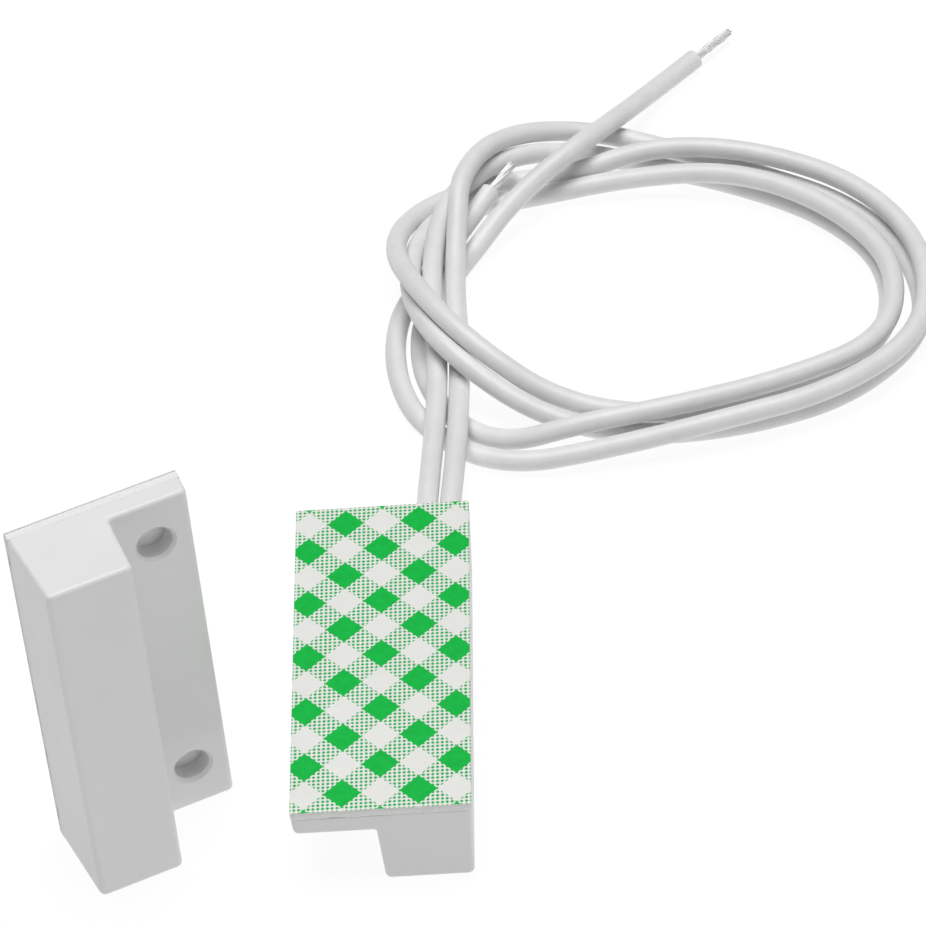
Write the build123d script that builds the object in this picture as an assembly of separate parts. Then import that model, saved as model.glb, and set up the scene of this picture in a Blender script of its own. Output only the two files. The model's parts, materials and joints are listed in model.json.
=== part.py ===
"""Door contact sensor: a reed switch in an L-shaped housing, and its magnet in another.

Frame: +Z up, origin on the floor under the middle of the two housings. The switch lies on the front
of its block with its adhesive back up, and its two leads run off along +Y. The magnet's housing
stands on its end at the switch's left, turned about Z. All sizes are in millimetres.
"""

from build123d import *
from math import cos, pi, radians, sin, tan
import os

# Housing, the same moulding twice. Its own frame: X across with the block at -X, Y along, Z out of
# the back face, and the origin in the middle of the back face. WIDTH is at the back and BLOCK_WIDTH
# at the flange, as the long sides lean in by DRAFT degrees towards the front. The ends stay square.
WIDTH = 13.4
LENGTH = 31.75
BLOCK_WIDTH = 7.2
BLOCK_DEPTH = 6.95
FLANGE = 1.6
DRAFT = 2.75
WALL = 0.9
EDGE_ROUND = 0.5
END_ROUND = 0.35
ROOT_ROUND = 0.3
POCKET_ROUND = 0.5
SCREW_RADIUS = 1.4
SCREW_X = 3.7
SCREW_PITCH = 23.56
SCREW_RIM = 0.25
CUT_PAST = 1.0

# Adhesive backing.
FOAM = 0.7
LINER = 0.1
FOAM_INSET = 0.05
FOAM_CORNER = 0.4

# Where the two housings stand.
SWITCH_AT = (9.12, 0.04)
MAGNET_AT = (-9.38, -7.11)
MAGNET_TURN = 24.3

# Reed switch, along Y inside the switch's block. X and Z count from the point on the floor under
# the middle of the switch, like every place below.
REED_X = 1.9
REED_Z = 2.6
GLASS_RADIUS = 1.0
GLASS_BORE = 0.7
GLASS_LENGTH = 14.0
GLASS_MIDDLE_Y = -0.5
GLASS_SEAL = 1.3
WIRE_RADIUS = 0.25
WIRE_NEAR_Y = 9.4
WIRE_FAR_Y = -12.4
BLADE_WIDTH = 0.9
BLADE_THICKNESS = 0.25
BLADE_OVERLAP = 0.9
BLADE_GAP = 0.04
BLADE_STUB = 0.7
HINGE_GAP = 0.04

# Leads: 22 AWG stranded copper in PVC.
LEAD_RADIUS = 0.85
CONDUCTOR_RADIUS = 0.38
HOLE_RADIUS = 0.87
LEAD_A_X = 4.8
LEAD_B_X = 3.0
LEAD_Z = 3.5
LEAD_A_INNER_Y = -7.5
STRIPPED_A = 4.6
STRIPPED_B = 3.4
SOLDER_RADIUS = 0.8
SOLDER_LENGTH = 2.2
BEND_SHARE = 0.45
LIMP_DIAMETERS = 3
STRAND_CHAMFER = 0.1

# Strands inside the block, which run on beside the reed's wires and are soldered to them there.
BESIDE_WIRE = (0.56, 0.33)
STRAIGHT_A = 1.3
CROSSED_A = 3.0
STRAIGHT_B = 1.0
CROSSED_B = 2.4
STRANDS_TO_WIRE_END = 0.1
STRANDS_TO_GLASS = 0.8
SOLDER_A_SHIFT = -0.9
SOLDER_B_SHIFT = 0.2
SOLDER_ROUND = 0.7

# Each lead's route, from inside the housing's end wall out to the end of its insulation. Lead A
# goes round the loose loop twice and out over it. Lead B goes round beside it and ends on the loop.
LEAD_A_ROUTE = [
    (4.8, 12.0, 3.5), (4.8, 18.4, 3.5), (5.3, 25.0, 3.0), (5.6, 31.5, 2.6), (5.7, 38.5, 2.3),
    (5.3, 46.0, 2.5), (5.6, 52.5, 3.6), (6.0, 57.8, 5.0), (9.4, 63.4, 4.0), (16.4, 66.0, 1.7),
    (24.0, 63.4, 0.9), (31.0, 59.6, 0.9), (37.8, 55.5, 0.9), (42.6, 49.0, 0.9), (43.8, 39.8, 0.9),
    (37.4, 32.4, 0.9), (28.4, 29.4, 0.9), (19.2, 29.0, 0.9), (11.4, 31.2, 2.1), (4.6, 36.2, 5.1),
    (1.7, 43.5, 4.0), (1.7, 51.0, 2.1), (4.0, 57.4, 0.9), (11.5, 58.6, 0.9), (20.0, 59.4, 1.8),
    (28.8, 58.4, 2.7), (36.6, 53.4, 2.7), (41.6, 45.6, 2.7), (40.2, 36.7, 2.7), (32.0, 32.8, 2.7),
    (23.4, 30.3, 2.9), (15.2, 28.7, 3.0), (9.4, 28.9, 1.0), (5.0, 31.8, 0.9), (2.3, 38.0, 0.9),
    (2.5, 45.2, 0.9), (6.1, 51.0, 0.9), (10.1, 56.3, 2.7), (15.0, 59.6, 4.8), (19.3, 65.6, 3.2),
    (23.1, 72.1, 1.0), (25.9, 75.1, 1.0),
]
LEAD_B_ROUTE = [
    (3.0, 12.0, 3.5), (3.0, 18.4, 3.5), (3.4, 25.0, 3.0), (3.8, 31.5, 2.7), (3.9, 38.5, 2.5),
    (3.4, 46.0, 2.7), (3.7, 52.0, 3.0), (5.0, 57.6, 2.8), (9.6, 62.0, 2.8), (15.4, 64.0, 1.1),
    (22.0, 61.6, 0.9), (29.0, 58.6, 0.9), (36.2, 54.0, 0.9), (41.0, 47.2, 0.9), (40.2, 38.2, 0.9),
    (32.2, 33.2, 0.9), (23.0, 30.9, 0.9), (13.8, 32.2, 1.9), (6.8, 35.9, 5.8), (2.5, 42.4, 6.1),
    (0.1, 50.0, 3.9), (1.8, 57.2, 1.2), (7.6, 60.6, 0.9), (15.0, 60.5, 1.5), (22.6, 62.0, 3.0),
    (31.6, 60.4, 2.7), (39.6, 55.2, 2.7), (44.0, 46.8, 2.7), (43.2, 37.2, 2.7), (35.8, 30.9, 2.9),
    (26.8, 28.4, 2.8), (17.8, 27.0, 1.8), (9.0, 26.4, 0.9), (2.6, 31.2, 0.9), (0.2, 38.0, 0.9),
    (0.5, 45.2, 0.9), (3.6, 50.4, 0.9), (6.2, 54.6, 2.0), (8.4, 57.7, 2.7),
]

# Bar magnet, along the magnet's block.
MAGNET_SECTION = 4.4
MAGNET_LENGTH = 25.4
MAGNET_CHAMFER = 0.3
MAGNET_FRONT_GAP = 0.3

ROOT_X = -WIDTH / 2 + BLOCK_WIDTH
LEAN = tan(radians(DRAFT))
POCKET_WIDTH = BLOCK_WIDTH - 2 * WALL
POCKET_X = -WIDTH / 2 + BLOCK_WIDTH / 2
POCKET_LENGTH = LENGTH - 2 * WALL
POCKET_DEPTH = BLOCK_DEPTH - WALL

SWITCH_PLACE = Location((*SWITCH_AT, 0))
SWITCH_HOUSING_PLACE = Plane(
    origin=(*SWITCH_AT, BLOCK_DEPTH), x_dir=(-1, 0, 0), z_dir=(0, 0, -1),
).location
MAGNET_PLACE = Plane(
    origin=(*MAGNET_AT, LENGTH / 2),
    x_dir=(cos(radians(MAGNET_TURN)), sin(radians(MAGNET_TURN)), 0),
    z_dir=(sin(radians(MAGNET_TURN)), -cos(radians(MAGNET_TURN)), 0),
).location


def rod(x, z, y_low, y_high, radius):
    """A round bar along Y between two heights of Y."""
    middle = (y_low + y_high) / 2
    return Pos(x, middle, z) * Rot(90, 0, 0) * Cylinder(radius, y_high - y_low)


def blade(x, y_low, y_high):
    """A flat reed blade along Y, on edge."""
    return Pos(x, (y_low + y_high) / 2, REED_Z) * Box(BLADE_THICKNESS, y_high - y_low, BLADE_WIDTH)


# ---- Housings, in their own frame -------------------------------------------------------------


def housing_body():
    """The L-shaped moulding: a block beside a thin flange, with rounded edges away from the back."""
    left, right = -WIDTH / 2, WIDTH / 2
    outline = Polyline(
        (left, 0), (right, 0), (right - LEAN * FLANGE, FLANGE), (ROOT_X, FLANGE),
        (ROOT_X - LEAN * (BLOCK_DEPTH - FLANGE), BLOCK_DEPTH),
        (left + LEAN * BLOCK_DEPTH, BLOCK_DEPTH), close=True,
    )
    section = make_face(outline)
    front = section.vertices().filter_by(lambda v: v.Y > FLANGE / 2)
    root = front.sort_by_distance((ROOT_X, FLANGE))[0]
    section = fillet([v for v in front if v != root], EDGE_ROUND)
    root = section.vertices().sort_by_distance((ROOT_X, FLANGE))[0]
    section = fillet(root, ROOT_ROUND)
    body = Pos(0, LENGTH / 2, 0) * Rot(90, 0, 0) * extrude(section, LENGTH)
    ends = body.faces().sort_by(Axis.Y)
    rims = (ends[0].edges() + ends[-1].edges()).filter_by(lambda e: e.center().Z > END_ROUND / 2)
    return fillet(rims, END_ROUND)


def screw_hole(y):
    """The cutter for one screw hole through the flange, with a rounded rim at the front."""
    shaft = Pos(SCREW_X, y, FLANGE / 2) * Cylinder(SCREW_RADIUS, FLANGE + 2 * CUT_PAST)
    rim = Pos(SCREW_X, y, FLANGE - SCREW_RIM / 2) * Cone(SCREW_RADIUS, SCREW_RADIUS + SCREW_RIM, SCREW_RIM)
    return shaft + rim


def pocket():
    """The room inside the block, open at the back."""
    room = Pos(POCKET_X, 0, POCKET_DEPTH / 2) * Box(POCKET_WIDTH, POCKET_LENGTH, POCKET_DEPTH)
    upright = room.edges().filter_by(Axis.Z)
    return fillet(upright, POCKET_ROUND)


def housing():
    """The moulding with its pocket and its two screw holes."""
    shell = housing_body() - pocket()
    for y in (-SCREW_PITCH / 2, SCREW_PITCH / 2):
        shell -= screw_hole(y)
    return shell


def backing(low, high, inset):
    """A sheet over the whole back face, between two depths below it."""
    sheet = Pos(0, 0, -(low + high) / 2) * Box(WIDTH - 2 * inset, LENGTH - 2 * inset, high - low)
    return fillet(sheet.edges().filter_by(Axis.Z), FOAM_CORNER)


# ---- Leads ------------------------------------------------------------------------------------


def tube(points, radius, label, smallest=None):
    """A round bar along straight runs joined by arcs as large as the runs allow."""
    corners = [Vector(p) for p in points]
    radii = []
    for before, corner, after in zip(corners, corners[1:], corners[2:]):
        run_in = corner - before
        run_out = after - corner
        half_turn = radians(run_in.get_angle(run_out)) / 2
        radii.append(BEND_SHARE * min(run_in.length, run_out.length) / tan(half_turn))
    path = FilletPolyline(*corners, radius=radii)
    start = Plane(origin=path @ 0, z_dir=path % 0)
    solid = sweep(start * Circle(radius), path=path)
    section_volume = pi * radius**2 * path.length
    print(label, "length", round(path.length, 1), "volume", round(solid.volume, 2),
          "section x length", round(section_volume, 2))
    print("  arc radii", [round(r, 1) for r in radii])
    if smallest and min(radii) < smallest:
        raise ValueError(f"{label} bends tighter than {smallest} mm")
    return solid


def tinned_end(route, length):
    """The stripped end of a lead, straight on from its last run."""
    end = Vector(route[-1])
    way = (end - Vector(route[-2])).normalized()
    middle = end + way * (length / 2)
    strand = Plane(origin=middle, z_dir=way).location * Cylinder(CONDUCTOR_RADIUS, length)
    rim = strand.edges().sort_by(lambda e: (e.center() - end).length)[-1]
    return chamfer(rim, STRAND_CHAMFER)


def lead_nodes():
    """The two free leads and the tinned ends beyond their insulation."""
    limit = LIMP_DIAMETERS * 2 * LEAD_RADIUS
    return {
        "lead_a_insulation": tube(LEAD_A_ROUTE, LEAD_RADIUS, "lead A", limit),
        "lead_b_insulation": tube(LEAD_B_ROUTE, LEAD_RADIUS, "lead B", limit),
        "lead_a_tinned_end": tinned_end(LEAD_A_ROUTE, STRIPPED_A),
        "lead_b_tinned_end": tinned_end(LEAD_B_ROUTE, STRIPPED_B),
    }


# ---- Inside the switch ------------------------------------------------------------------------

BESIDE_WIRE_X = REED_X + BESIDE_WIRE[0]
BESIDE_WIRE_Z = REED_Z + BESIDE_WIRE[1]
ROUTE_START_Y = LEAD_A_ROUTE[0][1]
GLASS_NEAR_Y = GLASS_MIDDLE_Y + GLASS_LENGTH / 2
GLASS_FAR_Y = GLASS_MIDDLE_Y - GLASS_LENGTH / 2
HINGE_Y = GLASS_FAR_Y + GLASS_SEAL + BLADE_STUB
BLADE_OFFSET = (BLADE_GAP + BLADE_THICKNESS) / 2


def conductor_a():
    """Lead A's strands, from its stripped inner end across to the reed's far wire."""
    points = [
        (LEAD_A_X, LEAD_A_INNER_Y, LEAD_Z),
        (LEAD_A_X, LEAD_A_INNER_Y - STRAIGHT_A, LEAD_Z),
        (BESIDE_WIRE_X, LEAD_A_INNER_Y - CROSSED_A, BESIDE_WIRE_Z),
        (BESIDE_WIRE_X, WIRE_FAR_Y + STRANDS_TO_WIRE_END, BESIDE_WIRE_Z),
    ]
    return tube(points, CONDUCTOR_RADIUS, "conductor A")


def conductor_b():
    """Lead B's strands, from its stripped inner end to the reed's near wire."""
    points = [
        (LEAD_B_X, ROUTE_START_Y, LEAD_Z),
        (LEAD_B_X, ROUTE_START_Y - STRAIGHT_B, LEAD_Z),
        (BESIDE_WIRE_X, ROUTE_START_Y - CROSSED_B, BESIDE_WIRE_Z),
        (BESIDE_WIRE_X, GLASS_NEAR_Y + STRANDS_TO_GLASS, BESIDE_WIRE_Z),
    ]
    return tube(points, CONDUCTOR_RADIUS, "conductor B")


def solder(middle_y):
    """A blob of solder round a wire and the strands beside it, before they are cut out of it."""
    x = (REED_X + BESIDE_WIRE_X) / 2
    z = (REED_Z + BESIDE_WIRE_Z) / 2
    blob = rod(x, z, middle_y - SOLDER_LENGTH / 2, middle_y + SOLDER_LENGTH / 2, SOLDER_RADIUS)
    return fillet(blob.edges().filter_by(GeomType.CIRCLE), SOLDER_RADIUS * SOLDER_ROUND)


def hinge_rod(radius, length):
    """A short upright rod on the axis that the moving blade swings about."""
    return Pos(REED_X - BLADE_OFFSET, HINGE_Y, REED_Z) * Cylinder(radius, length)


def fixed_contact():
    """The near wire, which is one piece with the right-hand blade."""
    wire = rod(REED_X, REED_Z, GLASS_NEAR_Y - GLASS_SEAL, WIRE_NEAR_Y, WIRE_RADIUS)
    tip_y = GLASS_MIDDLE_Y - BLADE_OVERLAP / 2
    return wire + blade(REED_X + BLADE_OFFSET, tip_y, GLASS_NEAR_Y - GLASS_SEAL)


def moving_anchor():
    """The far wire and the short root of the left-hand blade that its seal holds."""
    wire = rod(REED_X, REED_Z, WIRE_FAR_Y, GLASS_FAR_Y + GLASS_SEAL, WIRE_RADIUS)
    root = blade(REED_X - BLADE_OFFSET, GLASS_FAR_Y + GLASS_SEAL, HINGE_Y)
    return wire + root - hinge_rod(BLADE_THICKNESS / 2 + HINGE_GAP, BLADE_WIDTH + CUT_PAST)


def moving_blade():
    """The left-hand blade, which swings a little about the round end at its root."""
    tip_y = GLASS_MIDDLE_Y + BLADE_OVERLAP / 2
    return blade(REED_X - BLADE_OFFSET, HINGE_Y, tip_y) + hinge_rod(BLADE_THICKNESS / 2, BLADE_WIDTH)


def glass_tube():
    """The sealed glass round the blades, without its wires."""
    outside = rod(REED_X, REED_Z, GLASS_FAR_Y, GLASS_NEAR_Y, GLASS_RADIUS)
    outside = fillet(outside.edges().filter_by(GeomType.CIRCLE), GLASS_RADIUS / 2)
    room = rod(REED_X, REED_Z, GLASS_FAR_Y + GLASS_SEAL, GLASS_NEAR_Y - GLASS_SEAL, GLASS_BORE)
    wire_hole = rod(REED_X, REED_Z, GLASS_FAR_Y - CUT_PAST, GLASS_NEAR_Y + CUT_PAST, WIRE_RADIUS)
    return outside - room - wire_hole


def sealed_reed():
    """The outer shape of the whole reed switch, for cutting its place out of the potting."""
    outside = rod(REED_X, REED_Z, GLASS_FAR_Y, GLASS_NEAR_Y, GLASS_RADIUS)
    outside = fillet(outside.edges().filter_by(GeomType.CIRCLE), GLASS_RADIUS / 2)
    return outside + rod(REED_X, REED_Z, WIRE_FAR_Y, WIRE_NEAR_Y, WIRE_RADIUS)


def switch_inner_nodes():
    """What the switch's block holds, in the switch's own frame, without the potting."""
    fixed = fixed_contact()
    anchor = moving_anchor()
    strands_a = conductor_a()
    strands_b = conductor_b()
    solder_a = solder((GLASS_FAR_Y + WIRE_FAR_Y) / 2 + SOLDER_A_SHIFT)
    solder_b = solder((GLASS_NEAR_Y + WIRE_NEAR_Y) / 2 + SOLDER_B_SHIFT)
    return {
        "reed_glass_tube": glass_tube(),
        "reed_fixed_contact": fixed,
        "reed_moving_anchor": anchor,
        "reed_moving_blade": moving_blade(),
        "solder_joint_a": solder_a - anchor - strands_a,
        "solder_joint_b": solder_b - fixed - strands_b,
        "lead_a_conductor": strands_a,
        "lead_b_conductor": strands_b,
        "lead_a_inner_insulation": rod(LEAD_A_X, LEAD_Z, LEAD_A_INNER_Y, ROUTE_START_Y, LEAD_RADIUS),
    }


# ---- The two halves ---------------------------------------------------------------------------


def switch_nodes():
    """The switch's half, placed in the assembly."""
    inner = {name: SWITCH_PLACE * solid for name, solid in switch_inner_nodes().items()}
    inner |= {name: SWITCH_PLACE * solid for name, solid in lead_nodes().items()}
    shell = SWITCH_HOUSING_PLACE * housing()
    for x in (LEAD_A_X, LEAD_B_X):
        hole = rod(x, LEAD_Z, LENGTH / 2 - 2 * WALL, LENGTH / 2 + CUT_PAST, HOLE_RADIUS)
        shell -= SWITCH_PLACE * hole
    potting = SWITCH_HOUSING_PLACE * pocket() - SWITCH_PLACE * sealed_reed()
    for name in ("solder_joint_a", "solder_joint_b", "lead_a_conductor", "lead_b_conductor",
                 "lead_a_inner_insulation"):
        potting -= inner[name]
    for x in (LEAD_A_X, LEAD_B_X):
        potting -= SWITCH_PLACE * rod(x, LEAD_Z, ROUTE_START_Y, LENGTH / 2, LEAD_RADIUS)
    return inner | {
        "switch_housing": shell,
        "switch_potting": potting,
        "switch_foam_tape": SWITCH_HOUSING_PLACE * backing(0, FOAM, FOAM_INSET),
        "switch_release_liner": SWITCH_HOUSING_PLACE * backing(FOAM, FOAM + LINER, 0),
    }


def magnet_nodes():
    """The magnet's half, placed in the assembly."""
    depth = POCKET_DEPTH - MAGNET_FRONT_GAP - MAGNET_SECTION / 2
    magnet = Pos(POCKET_X, 0, depth) * Box(MAGNET_SECTION, MAGNET_LENGTH, MAGNET_SECTION)
    magnet = chamfer(magnet.edges(), MAGNET_CHAMFER)
    nodes = {
        "magnet_housing": housing(),
        "magnet_potting": pocket() - magnet,
        "bar_magnet": magnet,
        "magnet_foam_tape": backing(0, FOAM, FOAM_INSET),
        "magnet_release_liner": backing(FOAM, FOAM + LINER, 0),
    }
    return {name: MAGNET_PLACE * solid for name, solid in nodes.items()}


def main():
    """Write each node to parts/NODE.step."""
    os.makedirs("parts", exist_ok=True)
    for name, solid in (switch_nodes() | magnet_nodes()).items():
        export_step(solid, f"parts/{name}.step")


main()
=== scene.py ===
"""Looks of the door contact sensor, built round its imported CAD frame. Metres, +Z up."""

import json
from math import cos, pi, radians, sin, tau

import bmesh
import bpy
from mathutils import Matrix, Vector, noise


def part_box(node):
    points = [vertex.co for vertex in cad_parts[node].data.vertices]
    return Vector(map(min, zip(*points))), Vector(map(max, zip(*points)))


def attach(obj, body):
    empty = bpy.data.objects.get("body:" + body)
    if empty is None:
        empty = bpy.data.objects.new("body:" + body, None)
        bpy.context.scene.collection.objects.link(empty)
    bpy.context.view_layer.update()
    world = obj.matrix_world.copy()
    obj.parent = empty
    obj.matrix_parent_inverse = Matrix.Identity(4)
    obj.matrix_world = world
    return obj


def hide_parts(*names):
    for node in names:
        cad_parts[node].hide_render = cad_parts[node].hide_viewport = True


MM = 0.001

# Leads, as on the CAD side: 22 AWG, with the stripped ends beyond the insulation.
LEAD_RADIUS = 0.85 * MM
LEAD_A_LENGTH = 308 * MM
LEAD_B_LENGTH = 289 * MM
STRIPPED_A = 4.6 * MM
STRIPPED_B = 3.4 * MM

# Adhesive backing, measured from its outer face inwards.
LINER = 0.1 * MM
UNDER_LINER = 0.01 * MM
BACKING = 0.8 * MM
BACKING_WIDTH = 13.4 * MM
BACKING_LENGTH = 31.75 * MM
BACKING_CORNER = 0.12 * MM

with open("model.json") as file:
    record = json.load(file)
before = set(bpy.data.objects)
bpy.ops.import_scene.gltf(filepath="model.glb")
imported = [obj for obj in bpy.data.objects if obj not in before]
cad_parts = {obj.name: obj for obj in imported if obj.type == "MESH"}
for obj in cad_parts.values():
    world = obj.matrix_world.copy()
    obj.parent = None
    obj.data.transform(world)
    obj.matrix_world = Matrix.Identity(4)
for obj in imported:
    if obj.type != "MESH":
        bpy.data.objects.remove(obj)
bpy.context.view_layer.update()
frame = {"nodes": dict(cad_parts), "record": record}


def centre_on_floor(node):
    """The point on the floor under the middle of a CAD node."""
    low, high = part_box(node)
    return Vector(((low.x + high.x) / 2, (low.y + high.y) / 2, 0))


SWITCH = centre_on_floor("switch_housing")


# ---- Camera -----------------------------------------------------------------------------------

CAMERA_FROM_SWITCH = Vector((29.2, -295.7, 311.8)) * MM
CAMERA_PITCH = 43.84
CAMERA_HEADING = 4.15
CAMERA_ROLL = -6.4
CAMERA_LENS = 219.1
CAMERA_CLIP_START = 10 * MM


def make_camera():
    """A long lens above the front, turned and rolled a little."""
    data = bpy.data.cameras.new("camera")
    data.lens = CAMERA_LENS
    data.clip_start = CAMERA_CLIP_START
    camera = bpy.data.objects.new("camera", data)
    heading = Matrix.Rotation(radians(CAMERA_HEADING), 4, "Z")
    pitch = Matrix.Rotation(radians(90 - CAMERA_PITCH), 4, "X")
    roll = Matrix.Rotation(radians(CAMERA_ROLL), 4, "Z")
    camera.matrix_world = Matrix.Translation(SWITCH + CAMERA_FROM_SWITCH) @ heading @ pitch @ roll
    bpy.context.scene.collection.objects.link(camera)
    bpy.context.scene.camera = camera


# ---- Leads ------------------------------------------------------------------------------------

# Each route starts inside the housing's end wall and ends where the insulation does. The points are
# millimetres from the floor under the switch's middle.
LEAD_A_ROUTE = [
    (4.8, 12.0, 3.5), (4.8, 18.4, 3.5), (5.3, 25.0, 3.0), (5.6, 31.5, 2.6), (5.7, 38.5, 2.3),
    (5.3, 46.0, 2.5), (5.6, 52.5, 3.6), (6.0, 57.8, 5.0), (9.4, 63.4, 4.0), (16.4, 66.0, 1.7),
    (24.0, 63.4, 0.9), (31.0, 59.6, 0.9), (37.8, 55.5, 0.9), (42.6, 49.0, 0.9), (43.8, 39.8, 0.9),
    (37.4, 32.4, 0.9), (28.4, 29.4, 0.9), (19.2, 29.0, 0.9), (11.4, 31.2, 2.1), (4.6, 36.2, 5.1),
    (1.7, 43.5, 4.0), (1.7, 51.0, 2.1), (4.0, 57.4, 0.9), (11.5, 58.6, 0.9), (20.0, 59.4, 1.8),
    (28.8, 58.4, 2.7), (36.6, 53.4, 2.7), (41.6, 45.6, 2.7), (40.2, 36.7, 2.7), (32.0, 32.8, 2.7),
    (23.4, 30.3, 2.9), (15.2, 28.7, 3.0), (9.4, 28.9, 1.0), (5.0, 31.8, 0.9), (2.3, 38.0, 0.9),
    (2.5, 45.2, 0.9), (6.1, 51.0, 0.9), (10.1, 56.3, 2.7), (15.0, 59.6, 4.8), (19.3, 65.6, 3.2),
    (23.1, 72.1, 1.0), (25.9, 75.1, 1.0),
]
LEAD_B_ROUTE = [
    (3.0, 12.0, 3.5), (3.0, 18.4, 3.5), (3.4, 25.0, 3.0), (3.8, 31.5, 2.7), (3.9, 38.5, 2.5),
    (3.4, 46.0, 2.7), (3.7, 52.0, 3.0), (5.0, 57.6, 2.8), (9.6, 62.0, 2.8), (15.4, 64.0, 1.1),
    (22.0, 61.6, 0.9), (29.0, 58.6, 0.9), (36.2, 54.0, 0.9), (41.0, 47.2, 0.9), (40.2, 38.2, 0.9),
    (32.2, 33.2, 0.9), (23.0, 30.9, 0.9), (13.8, 32.2, 1.9), (6.8, 35.9, 5.8), (2.5, 42.4, 6.1),
    (0.1, 50.0, 3.9), (1.8, 57.2, 1.2), (7.6, 60.6, 0.9), (15.0, 60.5, 1.5), (22.6, 62.0, 3.0),
    (31.6, 60.4, 2.7), (39.6, 55.2, 2.7), (44.0, 46.8, 2.7), (43.2, 37.2, 2.7), (35.8, 30.9, 2.9),
    (26.8, 28.4, 2.8), (17.8, 27.0, 1.8), (9.0, 26.4, 0.9), (2.6, 31.2, 0.9), (0.2, 38.0, 0.9),
    (0.5, 45.2, 0.9), (3.6, 50.4, 0.9), (6.2, 54.6, 2.0), (8.4, 57.7, 2.7),
]


def placed(route):
    """A route in metres, in the shared frame."""
    return [SWITCH + Vector(point) * MM for point in route]


CURVE_RESOLUTION = 10
BEVEL_RESOLUTION = 7


def make_insulation(name, points):
    """A round lead whose centreline is a smooth NURBS curve with these control points."""
    data = bpy.data.curves.new(name, "CURVE")
    data.dimensions = "3D"
    data.resolution_u = CURVE_RESOLUTION
    data.bevel_depth = LEAD_RADIUS
    data.bevel_resolution = BEVEL_RESOLUTION
    data.use_fill_caps = True
    spline = data.splines.new("NURBS")
    spline.points.add(len(points) - 1)
    for control, point in zip(spline.points, points):
        control.co = (*point, 1)
    spline.order_u = 3
    spline.use_endpoint_u = True
    spline.use_smooth = True
    lead = bpy.data.objects.new(name, data)
    bpy.context.scene.collection.objects.link(lead)
    return lead


# ---- Mesh helpers -----------------------------------------------------------------------------


def make_object(name, mesh_data, matrix=None):
    """An object for a bmesh, at a matrix."""
    mesh = bpy.data.meshes.new(name)
    bmesh.ops.recalc_face_normals(mesh_data, faces=mesh_data.faces)
    mesh_data.to_mesh(mesh)
    mesh_data.free()
    thing = bpy.data.objects.new(name, mesh)
    if matrix is not None:
        thing.matrix_world = matrix
    bpy.context.scene.collection.objects.link(thing)
    return thing


def smooth_all(thing):
    """Shade every face of a mesh smooth."""
    for face in thing.data.polygons:
        face.use_smooth = True


def loft(mesh_data, rings):
    """Joins rings of points, all of one length, into a closed skin, with each end fanned shut."""
    rows = [[mesh_data.verts.new(point) for point in ring] for ring in rings]
    count = len(rows[0])
    for low, high in zip(rows, rows[1:]):
        for i in range(count):
            j = (i + 1) % count
            mesh_data.faces.new((low[i], low[j], high[j], high[i]))
    for row in (rows[0], rows[-1]):
        middle = sum((corner.co for corner in row), Vector()) / count
        hub = mesh_data.verts.new(middle)
        for i in range(count):
            mesh_data.faces.new((row[i], row[(i + 1) % count], hub))


CORNER_TURNS = 6


def rounded_outline(width, length, corner, step):
    """Points round a rectangle with rounded corners, about step apart, each with its outward normal."""
    half_x = width / 2 - corner
    half_y = length / 2 - corner
    corners = [(half_x, half_y), (-half_x, half_y), (-half_x, -half_y), (half_x, -half_y)]
    found = []
    for k, (x, y) in enumerate(corners):
        for i in range(CORNER_TURNS + 1):
            angle = pi / 2 * (k + i / CORNER_TURNS)
            normal = Vector((cos(angle), sin(angle), 0))
            found.append((Vector((x, y, 0)) + normal * corner, normal))
        after = corners[(k + 1) % len(corners)]
        start = found[-1][0]
        end = Vector((*after, 0)) + normal * corner
        steps = max(2, round((end - start).length / step))
        found += [(start.lerp(end, i / steps), normal) for i in range(1, steps)]
    return found


def tube_rings(centres, radii, sides, side, up):
    """Rings of points round each centre, in the plane of side and up."""
    return [
        [
            centre + (side * cos(tau * i / sides) + up * sin(tau * i / sides)) * radius
            for i in range(sides)
        ]
        for centre, radius in zip(centres, radii)
    ]


# ---- Stripped and tinned ends -----------------------------------------------------------------

STRANDS = 7
STRAND_RADIUS = 0.128 * MM
STRAND_OFF_AXIS = 1.9 * STRAND_RADIUS
STRAND_PITCH = 9.0 * MM
STRAND_STEPS = 28
STRAND_SIDES = 12
STRAND_WANDER = 0.06
UNEVEN_CUT = 0.35 * MM
TIN_RADIUS = 0.3 * MM
TIN_UNEVEN = 0.02 * MM
TIN_REACH = 0.93
TIN_SIDES = 24
HIDDEN_IN_LEAD = 0.6 * MM


def rounding(t, at_tip, rate):
    """How wide a strand is at t of its length: 1, until it rounds off just before its tip."""
    return min(1.0, at_tip + (1 - t) * rate) ** 0.5


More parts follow.
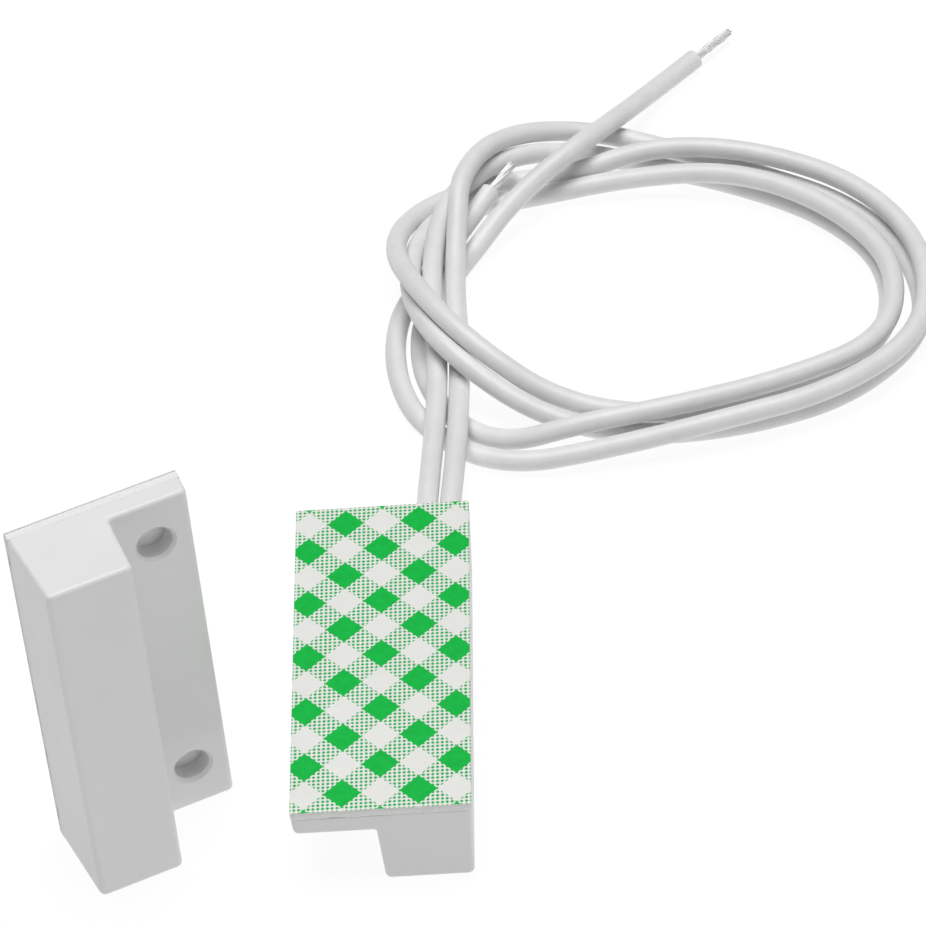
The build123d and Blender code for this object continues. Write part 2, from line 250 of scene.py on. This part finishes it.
def make_tinned_end(name, points, stripped, seed):
    """Seven twisted strands under a thin skin of tin, straight on from the insulation."""
    end = points[-1]
    way = (points[-1] - points[-2]).normalized()
    side = way.orthogonal().normalized()
    up = way.cross(side)
    mesh_data = bmesh.new()
    for strand in range(STRANDS):
        angle = tau * strand / (STRANDS - 1)
        off_axis = 0 if strand == STRANDS - 1 else STRAND_OFF_AXIS
        reach = stripped - abs(noise.noise(Vector((strand * 1.7, seed, 0.3)))) * UNEVEN_CUT
        centres = []
        radii = []
        for i in range(STRAND_STEPS + 1):
            t = i / STRAND_STEPS
            along = -HIDDEN_IN_LEAD + (reach + HIDDEN_IN_LEAD) * t
            turn = angle + tau * along / STRAND_PITCH
            wander = 1 + STRAND_WANDER * noise.noise(Vector((t * 5, strand * 3.1, seed)))
            spread = off_axis * wander
            centres.append(end + way * along + (side * cos(turn) + up * sin(turn)) * spread)
            radii.append(STRAND_RADIUS * rounding(t, 0.35, 14))
        loft(mesh_data, tube_rings(centres, radii, STRAND_SIDES, side, up))
    centres = []
    radii = []
    for i in range(STRAND_STEPS + 1):
        t = i / STRAND_STEPS
        along = -HIDDEN_IN_LEAD + (stripped * TIN_REACH + HIDDEN_IN_LEAD) * t
        centres.append(end + way * along)
        thick = TIN_RADIUS + TIN_UNEVEN * noise.noise(Vector((t * 9, seed, 1.0)))
        radii.append(thick * rounding(t, 0.48, 12))
    loft(mesh_data, tube_rings(centres, radii, TIN_SIDES, side, up))
    tip = make_object(name, mesh_data)
    smooth_all(tip)
    return tip


# ---- Adhesive backing -------------------------------------------------------------------------


def mount_face(name):
    """The record's mount of that name: its point and its outward direction."""
    found = next(mount for mount in frame["record"]["mounts"] if mount["name"] == name)
    return Vector(found["pos_m"]), Vector(found["axis"])


def backing_matrix(mount_name, along):
    """The frame of a housing's backing: X across, Y along, Z from the outer face into the housing."""
    place, outward = mount_face(mount_name)
    across = Vector(along).cross(-outward)
    matrix = Matrix((across, Vector(along), -outward)).transposed().to_4x4()
    matrix.translation = place
    return matrix


FOAM_LAYERS = 9
FOAM_STEP = 0.16 * MM
FOAM_INSET = 0.03 * MM
FOAM_BULGE = 0.02 * MM
CELLS_PER_MM = 2.6
CELL_DEPTH = 0.015 * MM
BITES_PER_MM = 0.45
BITE_DEPTH = 0.15 * MM
BITE_FROM = 0.2


def make_foam(name, matrix, seed):
    """A strip of closed-cell foam whose cut edge is open-celled and uneven."""
    start = LINER + UNDER_LINER
    outline = rounded_outline(BACKING_WIDTH, BACKING_LENGTH, BACKING_CORNER, FOAM_STEP)
    rings = []
    for k in range(FOAM_LAYERS):
        share = k / (FOAM_LAYERS - 1)
        height = start + (BACKING - start) * share
        bulge = FOAM_BULGE * sin(pi * share)
        ring = []
        for point, normal in outline:
            place = Vector((point.x, point.y, height + seed * MM)) / MM
            cell = CELL_DEPTH * noise.noise(place * CELLS_PER_MM)
            bite = BITE_DEPTH * max(0.0, noise.noise(place * BITES_PER_MM) - BITE_FROM)
            ring.append(point + Vector((0, 0, height)) + normal * (bulge - FOAM_INSET - cell - bite))
        rings.append(ring)
    mesh_data = bmesh.new()
    loft(mesh_data, rings)
    foam = make_object(name, mesh_data, matrix)
    for face in foam.data.polygons:
        face.use_smooth = len(face.vertices) == 4
    return foam


PRINTED_SIDE = 0
PLAIN_SIDE = 1
LINER_STEP = 0.4 * MM
LINER_RINGS = [0.02, 0.3, 0.6, 0.85, 1.0]
LINER_WAVE = 0.02 * MM
WAVES_PER_METRE = 90


def make_liner(name, matrix, seed):
    """A sheet of release liner, cut with the tape, that lies almost flat on it."""
    outline = rounded_outline(BACKING_WIDTH, BACKING_LENGTH, BACKING_CORNER, LINER_STEP)
    rings = []
    for share in LINER_RINGS:
        ring = []
        for point, _ in outline:
            flat = point * share
            wave = noise.noise(Vector((flat.x * WAVES_PER_METRE, flat.y * WAVES_PER_METRE, seed)))
            ring.append(flat + Vector((0, 0, max(0.0, LINER_WAVE * wave))))
        rings.append(ring)
    inner_face = [[Vector((p.x, p.y, LINER)) for p in ring] for ring in reversed(rings)]
    mesh_data = bmesh.new()
    loft(mesh_data, rings + inner_face)
    for face in mesh_data.faces:
        outer = face.calc_center_median().z < LINER / 4
        face.material_index = PRINTED_SIDE if outer else PLAIN_SIDE
    return make_object(name, mesh_data, matrix)


# ---- Materials --------------------------------------------------------------------------------


class Shader:
    """A material with short calls for its nodes and links."""

    def __init__(self, name):
        self.material = bpy.data.materials.new(name)
        self.material.use_nodes = True
        self.tree = self.material.node_tree
        self.surface = self.tree.nodes["Principled BSDF"]

    def node(self, kind, **settings):
        """A node, with its settings and the values or links of its inputs."""
        made = self.tree.nodes.new(kind)
        inputs = settings.pop("inputs", {})
        for name, value in settings.items():
            setattr(made, name, value)
        for key, value in inputs.items():
            self.feed(made.inputs[key], value)
        return made

    def feed(self, socket, value):
        """Sets a socket, or links it if the value is another node's output."""
        if isinstance(value, bpy.types.NodeSocket):
            self.tree.links.new(value, socket)
        else:
            socket.default_value = value

    def set(self, **values):
        """Sets or links the surface's own inputs, with _ for a space in their names."""
        for name, value in values.items():
            self.feed(self.surface.inputs[name.replace("_", " ")], value)

    def maths(self, operation, first, second=0.0):
        """One Math node."""
        return self.node("ShaderNodeMath", operation=operation, inputs={0: first, 1: second}).outputs[0]

    def position(self):
        """The point on the surface, in the piece's own coordinates."""
        return self.node("ShaderNodeTexCoord").outputs["Object"]

    def noise(self, scale, detail=2.0, roughness=0.5):
        """Noise about the piece's own coordinates, scale being cells in a metre."""
        inputs = {"Scale": scale, "Detail": detail, "Roughness": roughness}
        inputs["Vector"] = self.position()
        return self.node("ShaderNodeTexNoise", inputs=inputs).outputs["Fac"]

    def ramp(self, fac, stops):
        """A colour ramp through (place, colour) stops."""
        made = self.node("ShaderNodeValToRGB", inputs={"Fac": fac})
        elements = made.color_ramp.elements
        while len(elements) < len(stops):
            elements.new(0.5)
        for element, (place, colour) in zip(elements, stops):
            element.position = place
            element.color = (*colour, 1)
        return made.outputs["Color"]

    def mix(self, fac, first, second):
        """A blend of two colours."""
        made = self.node("ShaderNodeMix", data_type="RGBA")
        self.feed(made.inputs[0], fac)
        for socket, colour in ((made.inputs[6], first), (made.inputs[7], second)):
            linked = isinstance(colour, bpy.types.NodeSocket)
            self.feed(socket, colour if linked else (*colour, 1))
        return made.outputs[2]

    def bump(self, height, depth, strength=1.0):
        """Links a bump of that depth in metres to the surface."""
        inputs = {"Height": height, "Distance": depth, "Strength": strength}
        made = self.node("ShaderNodeBump", inputs=inputs)
        self.feed(self.surface.inputs["Normal"], made.outputs[0])


def tinted(colour, factor):
    """A colour made lighter or darker."""
    return tuple(min(1.0, c * factor) for c in colour)


def grained(name, colour, roughness, grain, depth, spread=0.04, **surface):
    """A material whose colour and surface vary with a fine grain, grain being cells in a metre."""
    shader = Shader(name)
    patches = shader.noise(grain / 12, 3.0)
    colours = [(0.3, tinted(colour, 1 - spread)), (0.7, tinted(colour, 1 + spread))]
    shader.set(Base_Color=shader.ramp(patches, colours), Roughness=roughness, **surface)
    shader.bump(shader.noise(grain, 3.0), depth)
    return shader.material


ABS_WHITE = (0.77, 0.77, 0.77)
PVC_WHITE = (0.77, 0.77, 0.77)


def moulded_abs():
    """White ABS from a lightly spark-eroded mould: satin, with faint flow and sink."""
    shader = Shader("moulded_abs")
    flow = shader.noise(95, 3.0, 0.6)
    colour = shader.ramp(flow, [(0.3, tinted(ABS_WHITE, 0.975)), (0.7, tinted(ABS_WHITE, 1.012))])
    gloss = shader.noise(260, 4.0)
    roughness = shader.node(
        "ShaderNodeMapRange", inputs={"Value": gloss, "To Min": 0.34, "To Max": 0.5}
    ).outputs[0]
    shader.set(
        Base_Color=colour, Roughness=roughness, IOR=1.5, Subsurface_Weight=0.12,
        Subsurface_Radius=(0.5, 0.5, 0.45), Subsurface_Scale=0.6 * MM,
    )
    texture = shader.maths("MULTIPLY", shader.noise(9000, 3.0, 0.6), 0.012)
    sink = shader.maths("MULTIPLY", shader.noise(130, 1.0), 0.16)
    height = shader.maths("ADD", texture, sink)
    shader.bump(height, 0.35 * MM, 0.8)
    return shader.material


def soft_pvc():
    """White lead insulation, smooth from the extruder, with faint handling marks."""
    shader = Shader("soft_pvc")
    marks = shader.noise(420, 5.0, 0.65)
    colour = shader.ramp(marks, [(0.32, tinted(PVC_WHITE, 0.94)), (0.62, PVC_WHITE)])
    shader.set(
        Base_Color=colour, Roughness=0.42, IOR=1.53, Subsurface_Weight=0.15,
        Subsurface_Radius=(0.6, 0.6, 0.55), Subsurface_Scale=0.5 * MM,
    )
    shader.bump(shader.noise(2600, 3.0), 0.012 * MM)
    return shader.material


def open_foam():
    """White foam, open-celled where it is cut, with painted shade in the hollow of each cell."""
    shader = Shader("open_foam")
    cells = shader.node(
        "ShaderNodeTexVoronoi", inputs={"Vector": shader.position(), "Scale": 5200.0}
    ).outputs["Distance"]
    # Painted shade: the colour darkens towards each cell's centre, where the bump below dents the
    # surface.
    shader.set(
        Base_Color=shader.ramp(cells, [(0.05, (0.75, 0.742, 0.738)), (0.5, (0.82, 0.812, 0.808))]),
        Roughness=0.85,
    )
    height = shader.maths("ADD", cells, shader.noise(1500, 3.0))
    shader.bump(height, 0.025 * MM)
    return shader.material


# The print on the liner: a plain gingham. Two sets of equal stripes cross at right angles. Ink
# fills the squares where they cross, and even dots fill the rest of each stripe.
PRINT_GREEN = (0.002, 0.46, 0.055)
DOT_GREEN = (0.03, 0.42, 0.1)
PAPER = (0.78, 0.785, 0.755)
PRINT_PITCH = 4.0 * MM
STRIPE_HALF = 0.25
DIAGONAL = 0.5 ** 0.5
DOTS_PER_STEP = 8
DOT_LIMIT = 0.15
DOT_RAGGED = 0.6
EDGE_RAGGED = 0.02
INK_HEIGHT = 0.6


def printed_liner(name, phase):
    """Glazed liner paper with a green gingham, shifted by phase, in steps of the print."""
    shader = Shader(name)
    split = shader.node("ShaderNodeSeparateXYZ", inputs={"Vector": shader.position()})
    ragged = shader.maths("SUBTRACT", shader.noise(2100, 2.0), 0.5)
    stripes = []
    waves = []
    for lean, shift in zip((DIAGONAL, -DIAGONAL), phase):
        part_x = shader.maths("MULTIPLY", split.outputs["X"], DIAGONAL / PRINT_PITCH)
        part_y = shader.maths("MULTIPLY", split.outputs["Y"], lean / PRINT_PITCH)
        step = shader.maths("ADD", shader.maths("ADD", part_x, part_y), shift)
        place = shader.maths("FRACT", shader.maths("ADD", step, 0.5))
        place = shader.maths("ABSOLUTE", shader.maths("SUBTRACT", place, 0.5))
        place = shader.maths("ADD", place, shader.maths("MULTIPLY", ragged, EDGE_RAGGED))
        stripes.append(shader.maths("LESS_THAN", place, STRIPE_HALF))
        waves.append(shader.maths("COSINE", shader.maths("MULTIPLY", step, tau * DOTS_PER_STEP)))
    solid = shader.maths("MINIMUM", *stripes)
    wave = shader.maths("MULTIPLY", *waves)
    wave = shader.maths("ADD", wave, shader.maths("MULTIPLY", ragged, DOT_RAGGED))
    dots = shader.maths("GREATER_THAN", wave, DOT_LIMIT)
    dotted = shader.maths("MULTIPLY", shader.maths("MAXIMUM", *stripes), dots)
    paper = shader.ramp(shader.noise(700, 4.0), [(0.3, tinted(PAPER, 0.975)), (0.7, PAPER)])
    green = shader.ramp(
        shader.noise(1400, 4.0, 0.7),
        [(0.3, tinted(PRINT_GREEN, 0.9)), (0.7, tinted(PRINT_GREEN, 1.1))],
    )
    with_dots = shader.mix(dotted, paper, DOT_GREEN)
    shader.set(
        Base_Color=shader.mix(solid, with_dots, green), Roughness=0.45, IOR=1.45, Specular_IOR_Level=0.2
    )
    ink = shader.maths("MULTIPLY", shader.maths("MAXIMUM", solid, dotted), INK_HEIGHT)
    shader.bump(shader.maths("ADD", shader.noise(3500, 4.0, 0.6), ink), 0.006 * MM)
    return shader.material


def plain_liner():
    """The unprinted, silicone-coated side of the liner paper."""
    return grained("plain_liner", PAPER, 0.32, 3500, 0.006 * MM, 0.02)


def tinned_copper():
    """Bright, slightly dull tin."""
    shader = Shader("tinned_copper")
    stain = shader.noise(2200, 3.0)
    shader.set(
        Base_Color=shader.ramp(stain, [(0.3, (0.7, 0.7, 0.71)), (0.7, (0.86, 0.86, 0.87))]),
        Metallic=0.6, Roughness=0.5,
    )
    shader.bump(shader.noise(6500, 3.0), 0.012 * MM)
    return shader.material


# ---- Dressing the parts -----------------------------------------------------------------------


def dress_cad_nodes():
    """Gives every CAD node that stays its material."""
    abs_plastic = moulded_abs()
    pvc = bpy.data.materials["soft_pvc"]
    epoxy = grained("cast_epoxy", (0.62, 0.6, 0.54), 0.4, 900, 0.03 * MM)
    nickel_iron = grained("nickel_iron", (0.6, 0.58, 0.54), 0.3, 6000, 0.01 * MM, Metallic=1.0)
    solder = grained("tin_solder", (0.66, 0.66, 0.67), 0.34, 2500, 0.02 * MM, Metallic=1.0)
    copper = grained("bare_copper", (0.8, 0.42, 0.26), 0.32, 5000, 0.02 * MM, 0.08, Metallic=1.0)
    ferrite = grained("ground_ferrite", (0.08, 0.08, 0.085), 0.5, 7000, 0.02 * MM, 0.2)
    glass = grained(
        "reed_glass", (0.72, 0.88, 0.78), 0.04, 300, 0.004 * MM, 0.02, Transmission_Weight=1.0, IOR=1.5
    )
    wear = {
        "switch_housing": abs_plastic,
        "magnet_housing": abs_plastic,
        "switch_potting": epoxy,
        "magnet_potting": epoxy,
        "bar_magnet": ferrite,
        "reed_glass_tube": glass,
        "reed_fixed_contact": nickel_iron,
        "reed_moving_anchor": nickel_iron,
        "reed_moving_blade": nickel_iron,
        "solder_joint_a": solder,
        "solder_joint_b": solder,
        "lead_a_conductor": copper,
        "lead_b_conductor": copper,
        "lead_a_inner_insulation": pvc,
    }
    for node, material in wear.items():
        frame["nodes"][node].material_slots[0].material = material


def finish_piece(piece, body, node, material):
    """Paints a piece that stands for a CAD node, and puts it on its body."""
    piece.data.materials.append(material)
    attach(piece, body)
    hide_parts(node)


def make_leads():
    """The two leads with their tinned ends."""
    pvc = soft_pvc()
    tin = tinned_copper()
    for letter, route, length, stripped, seed in (
        ("a", LEAD_A_ROUTE, LEAD_A_LENGTH, STRIPPED_A, 3.0),
        ("b", LEAD_B_ROUTE, LEAD_B_LENGTH, STRIPPED_B, 8.0),
    ):
        points = placed(route)
        lead = make_insulation(f"lead_{letter}", points)
        tip = make_tinned_end(f"lead_{letter}_strands", points, stripped, seed)
        finish_piece(lead, "switch", f"lead_{letter}_insulation", pvc)
        finish_piece(tip, "switch", f"lead_{letter}_tinned_end", tin)


def make_backings():
    """The foam tape and the printed liner on the back of each housing."""
    foam_material = open_foam()
    plain = plain_liner()
    for half, along, phase, seed in (
        ("switch", (0, 1, 0), (0.0, 0.0), 0.0),
        ("magnet", (0, 0, 1), (0.5, 0.0), 21.0),
    ):
        matrix = backing_matrix(f"{half}_adhesive_face", along)
        foam = make_foam(f"{half}_foam", matrix, seed)
        finish_piece(foam, half, f"{half}_foam_tape", foam_material)
        liner = make_liner(f"{half}_liner", matrix, seed)
        printed = printed_liner(f"{half}_print", phase)
        finish_piece(liner, f"{half}_liner", f"{half}_release_liner", printed)
        liner.data.materials.append(plain)


# ---- Studio -----------------------------------------------------------------------------------


FLOOR_DROP = 0.02 * MM
FLOOR_GREY = 0.12
FLOOR_GLOW = 0.9
SURROUND = 0.1


def make_floor():
    """A white floor, lit from below like a light table, just below the parts."""
    mesh_data = bmesh.new()
    bmesh.ops.create_grid(mesh_data, x_segments=1, y_segments=1, size=3.0)
    floor = make_object("floor", mesh_data)
    floor.location.z = -FLOOR_DROP
    shader = Shader("white_floor")
    shader.set(
        Base_Color=(FLOOR_GREY, FLOOR_GREY, FLOOR_GREY, 1), Roughness=0.9, Specular_IOR_Level=0.0,
        Emission_Color=(1, 1, 1, 1), Emission_Strength=FLOOR_GLOW,
    )
    floor.data.materials.append(shader.material)


def add_softbox(name, place, size, power):
    """A square area light that faces the parts."""
    data = bpy.data.lights.new(name, "AREA")
    data.size = size
    data.energy = power
    light = bpy.data.objects.new(name, data)
    light.location = place
    light.rotation_euler = (SWITCH - Vector(place)).to_track_quat("-Z", "Y").to_euler()
    bpy.context.scene.collection.objects.link(light)


def make_lights():
    """A wide softbox overhead, weak ones at the left and in front, and a dim even surround."""
    add_softbox("overhead", (0.0, 0.15, 1.2), 0.9, 14.5)
    add_softbox("left", (-1.0, -0.3, 0.5), 0.8, 0.35)
    add_softbox("front", (0.9, -0.7, 0.5), 0.6, 1.8)
    world = bpy.data.worlds.new("surround")
    world.use_nodes = True
    background = world.node_tree.nodes["Background"]
    background.inputs["Color"].default_value = (1, 1, 1, 1)
    background.inputs["Strength"].default_value = SURROUND
    bpy.context.scene.world = world
    bpy.context.scene.view_settings.view_transform = "Standard"


make_camera()
make_leads()
make_backings()
dress_cad_nodes()
make_floor()
make_lights()
